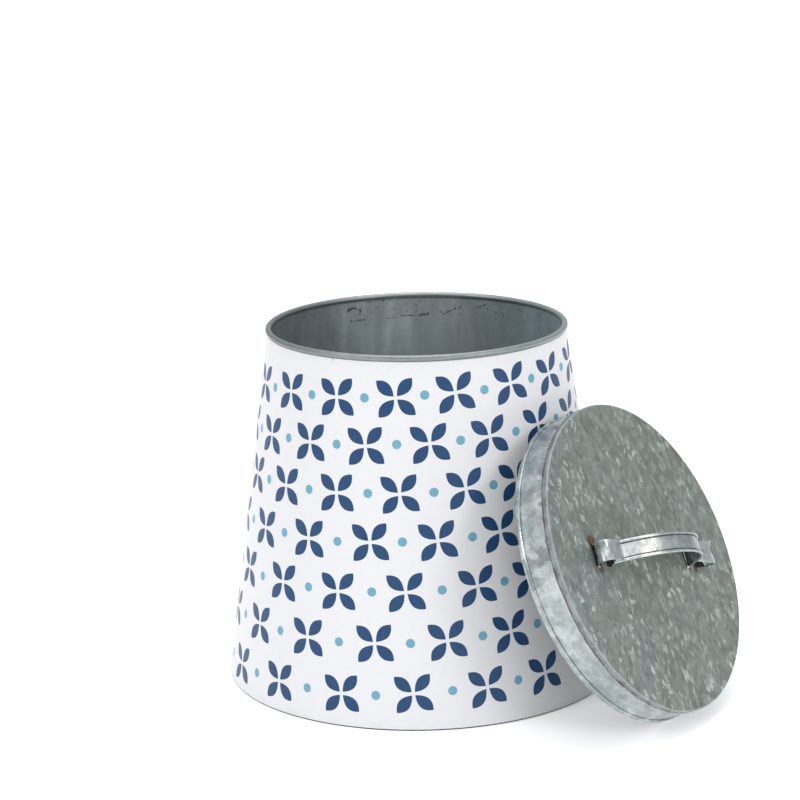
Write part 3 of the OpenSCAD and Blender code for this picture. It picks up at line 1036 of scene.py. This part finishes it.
# The camera: its distance from a point on the axis, how far it looks down, and that point's height. The
# small turns set where the object stands in the frame.
VIEW_DISTANCE = 1.3351
VIEW_DOWN = math.radians(16.0134)
VIEW_Z = 0.0912
VIEW_TURN_Y = math.radians(-0.394)
VIEW_TURN_X = math.radians(-2.022)
VIEW_ROLL = math.radians(1.18)
LENS = 117.63


def build_floor():
    """Large plain pale floor, with a faint glow that keeps it white round the object's shadow."""
    size = FLOOR_HALF
    mesh = bpy.data.meshes.new("floor")
    corners = [(-size, -size, 0), (size, -size, 0), (size, size, 0), (-size, size, 0)]
    mesh.from_pydata(corners, [], [(0, 1, 2, 3)])
    paint = Paint("floor_paint", Base_Color=(0.96, 0.96, 0.96, 1), Roughness=0.9, Specular_IOR_Level=0.1,
                  Emission_Color=(1, 1, 1, 1), Emission_Strength=FLOOR_GLOW)
    mesh.materials.append(paint.material)
    add_object("floor", mesh)


def soft_light(name, place, aim, size, power):
    """Round area lamp that faces the point it is aimed at."""
    data = bpy.data.lights.new(name, "AREA")
    data.shape = "DISK"
    data.size = size
    data.energy = power
    light = add_object(name, data)
    light.location = place
    light.rotation_mode = "QUATERNION"
    light.rotation_quaternion = (Vector(aim) - Vector(place)).to_track_quat("-Z", "Y")


def build_sky():
    """Studio tent round the object: brightest overhead, dimmer towards the horizon."""
    world = bpy.data.worlds.new("studio")
    world.use_nodes = True
    bpy.context.scene.world = world
    tree = world.node_tree
    place = tree.nodes.new("ShaderNodeTexCoord")
    axes = tree.nodes.new("ShaderNodeSeparateXYZ")
    ramp = tree.nodes.new("ShaderNodeValToRGB")
    tree.links.new(place.outputs["Generated"], axes.inputs[0])
    tree.links.new(axes.outputs[2], ramp.inputs[0])
    ramp.color_ramp.elements[0].color = HORIZON
    ramp.color_ramp.elements[1].color = ZENITH
    tree.links.new(ramp.outputs[0], tree.nodes["Background"].inputs["Color"])
    tree.nodes["Background"].inputs["Strength"].default_value = SKY_STRENGTH


def build_camera():
    """Long lens, looking down from the front."""
    data = bpy.data.cameras.new("camera")
    camera = add_object("camera", data)
    back = Vector((0, -math.cos(VIEW_DOWN), math.sin(VIEW_DOWN)))
    level = Matrix(((1, 0, 0), (0, math.sin(VIEW_DOWN), math.cos(VIEW_DOWN)), back)).to_3x3()
    turns = ((VIEW_ROLL, "Z"), (VIEW_TURN_X, "X"), (VIEW_TURN_Y, "Y"))
    roll, turn_x, turn_y = (Matrix.Rotation(angle, 3, axis) for angle, axis in turns)
    aim = roll @ turn_x @ turn_y @ level
    place = Matrix.Translation(Vector((0, 0, VIEW_Z)) + back * VIEW_DISTANCE)
    camera.matrix_world = place @ aim.transposed().to_4x4()
    data.sensor_width = 36
    data.lens = LENS
    data.clip_start, data.clip_end = 0.05, 50
    bpy.context.scene.camera = camera


# ---------------------------------------- the object in its studio

film = film_paint("wrap_film", FILM, FILM_SHADE, 0.38)
navy = film_paint("navy_ink", NAVY, NAVY_SHADE, 0.42, 1.42)
sky = film_paint("sky_ink", SKY, SKY_SHADE, 0.42, 1.42)
wall = wall_paint()
bottom = dull_steel_paint("bottom_sheet", (0.28, 0.31, 0.32), (0.42, 0.46, 0.47))
wire = dull_steel_paint("wire_steel", (0.3, 0.3, 0.3), (0.4, 0.4, 0.4))
# Rust at the slots' corners: the handle's end, millimetres past the arch's foot and across, and the size
slot_rust = [(on_handle(side * (SPAN / 2 + past * MM), w * MM), size)
             for side, past, w, size in ((-1, 9.0, 6.8, 1.7), (-1, 6.4, -6.6, 1.2), (-1, 9.9, -5.4, 0.7),
                                         (1, 5.4, -6.3, 1.0), (1, 0.5, 6.0, 0.8), (1, 9, 6, 0.6))]
plate = patina_paint(slot_rust)
# Painted shade: near black with dark rust, for the slots and the low strap
slot_shade_and_rust = shade_and_dirt_paint("slot_painted_shade_and_rust", (0.006, 0.006, 0.006), DARK_RUST, 0.3)
# Painted shade with dirt, for the corners of the strap's ridges
seam_shade_and_dirt = shade_and_dirt_paint("crease_shade_and_dirt", (0.035, 0.035, 0.032), (0.22, 0.24, 0.24), 0.42)
groove = (FLANGE_Z - 0.2 * MM, 1.1 * MM)
# Painted shade on the skirt's lower left, given as a dull spot
skirt_painted_shade = [((-76 * MM, -20 * MM, LID_H / 2), 54 * MM)]
skirt = bright_zinc_paint("skirt_zinc", [], dull_and_shade=skirt_painted_shade, groove=groove)
# Whiter crystals on the arch, and a painted highlight on the left loop
strap_pale_and_highlight = [(on_handle(-22 * MM, 0, 17 * MM), 10 * MM), (on_handle(-46 * MM, 0, 6 * MM), 4 * MM)]
strap_dull = [(on_handle(4 * MM, 0, 22 * MM), 30 * MM), (on_handle(10 * MM, 0, 22 * MM), 14 * MM),
              (on_handle(45 * MM, -3 * MM, 3 * MM), 7 * MM)]
strap = bright_zinc_paint("strap_zinc", slot_rust, strap_pale_and_highlight, strap_dull, grain_size=3.4 * MM)

build_camera()
build_floor()
build_sky()
for lamp, settings in LAMPS.items():
    soft_light(lamp, *settings)
build_wall(wall)
build_wrap(film, navy, sky, wall)
build_plate(plate, slot_shade_and_rust)
build_skirt(skirt)
build_handle(strap, seam_shade_and_dirt, slot_shade_and_rust)
for node, paint in (("can_bottom", bottom), ("rim_wire", wire)):
    nodes[node].data.materials.clear()
    nodes[node].data.materials.append(paint)

scene = bpy.context.scene
scene.view_settings.view_transform = "Standard"
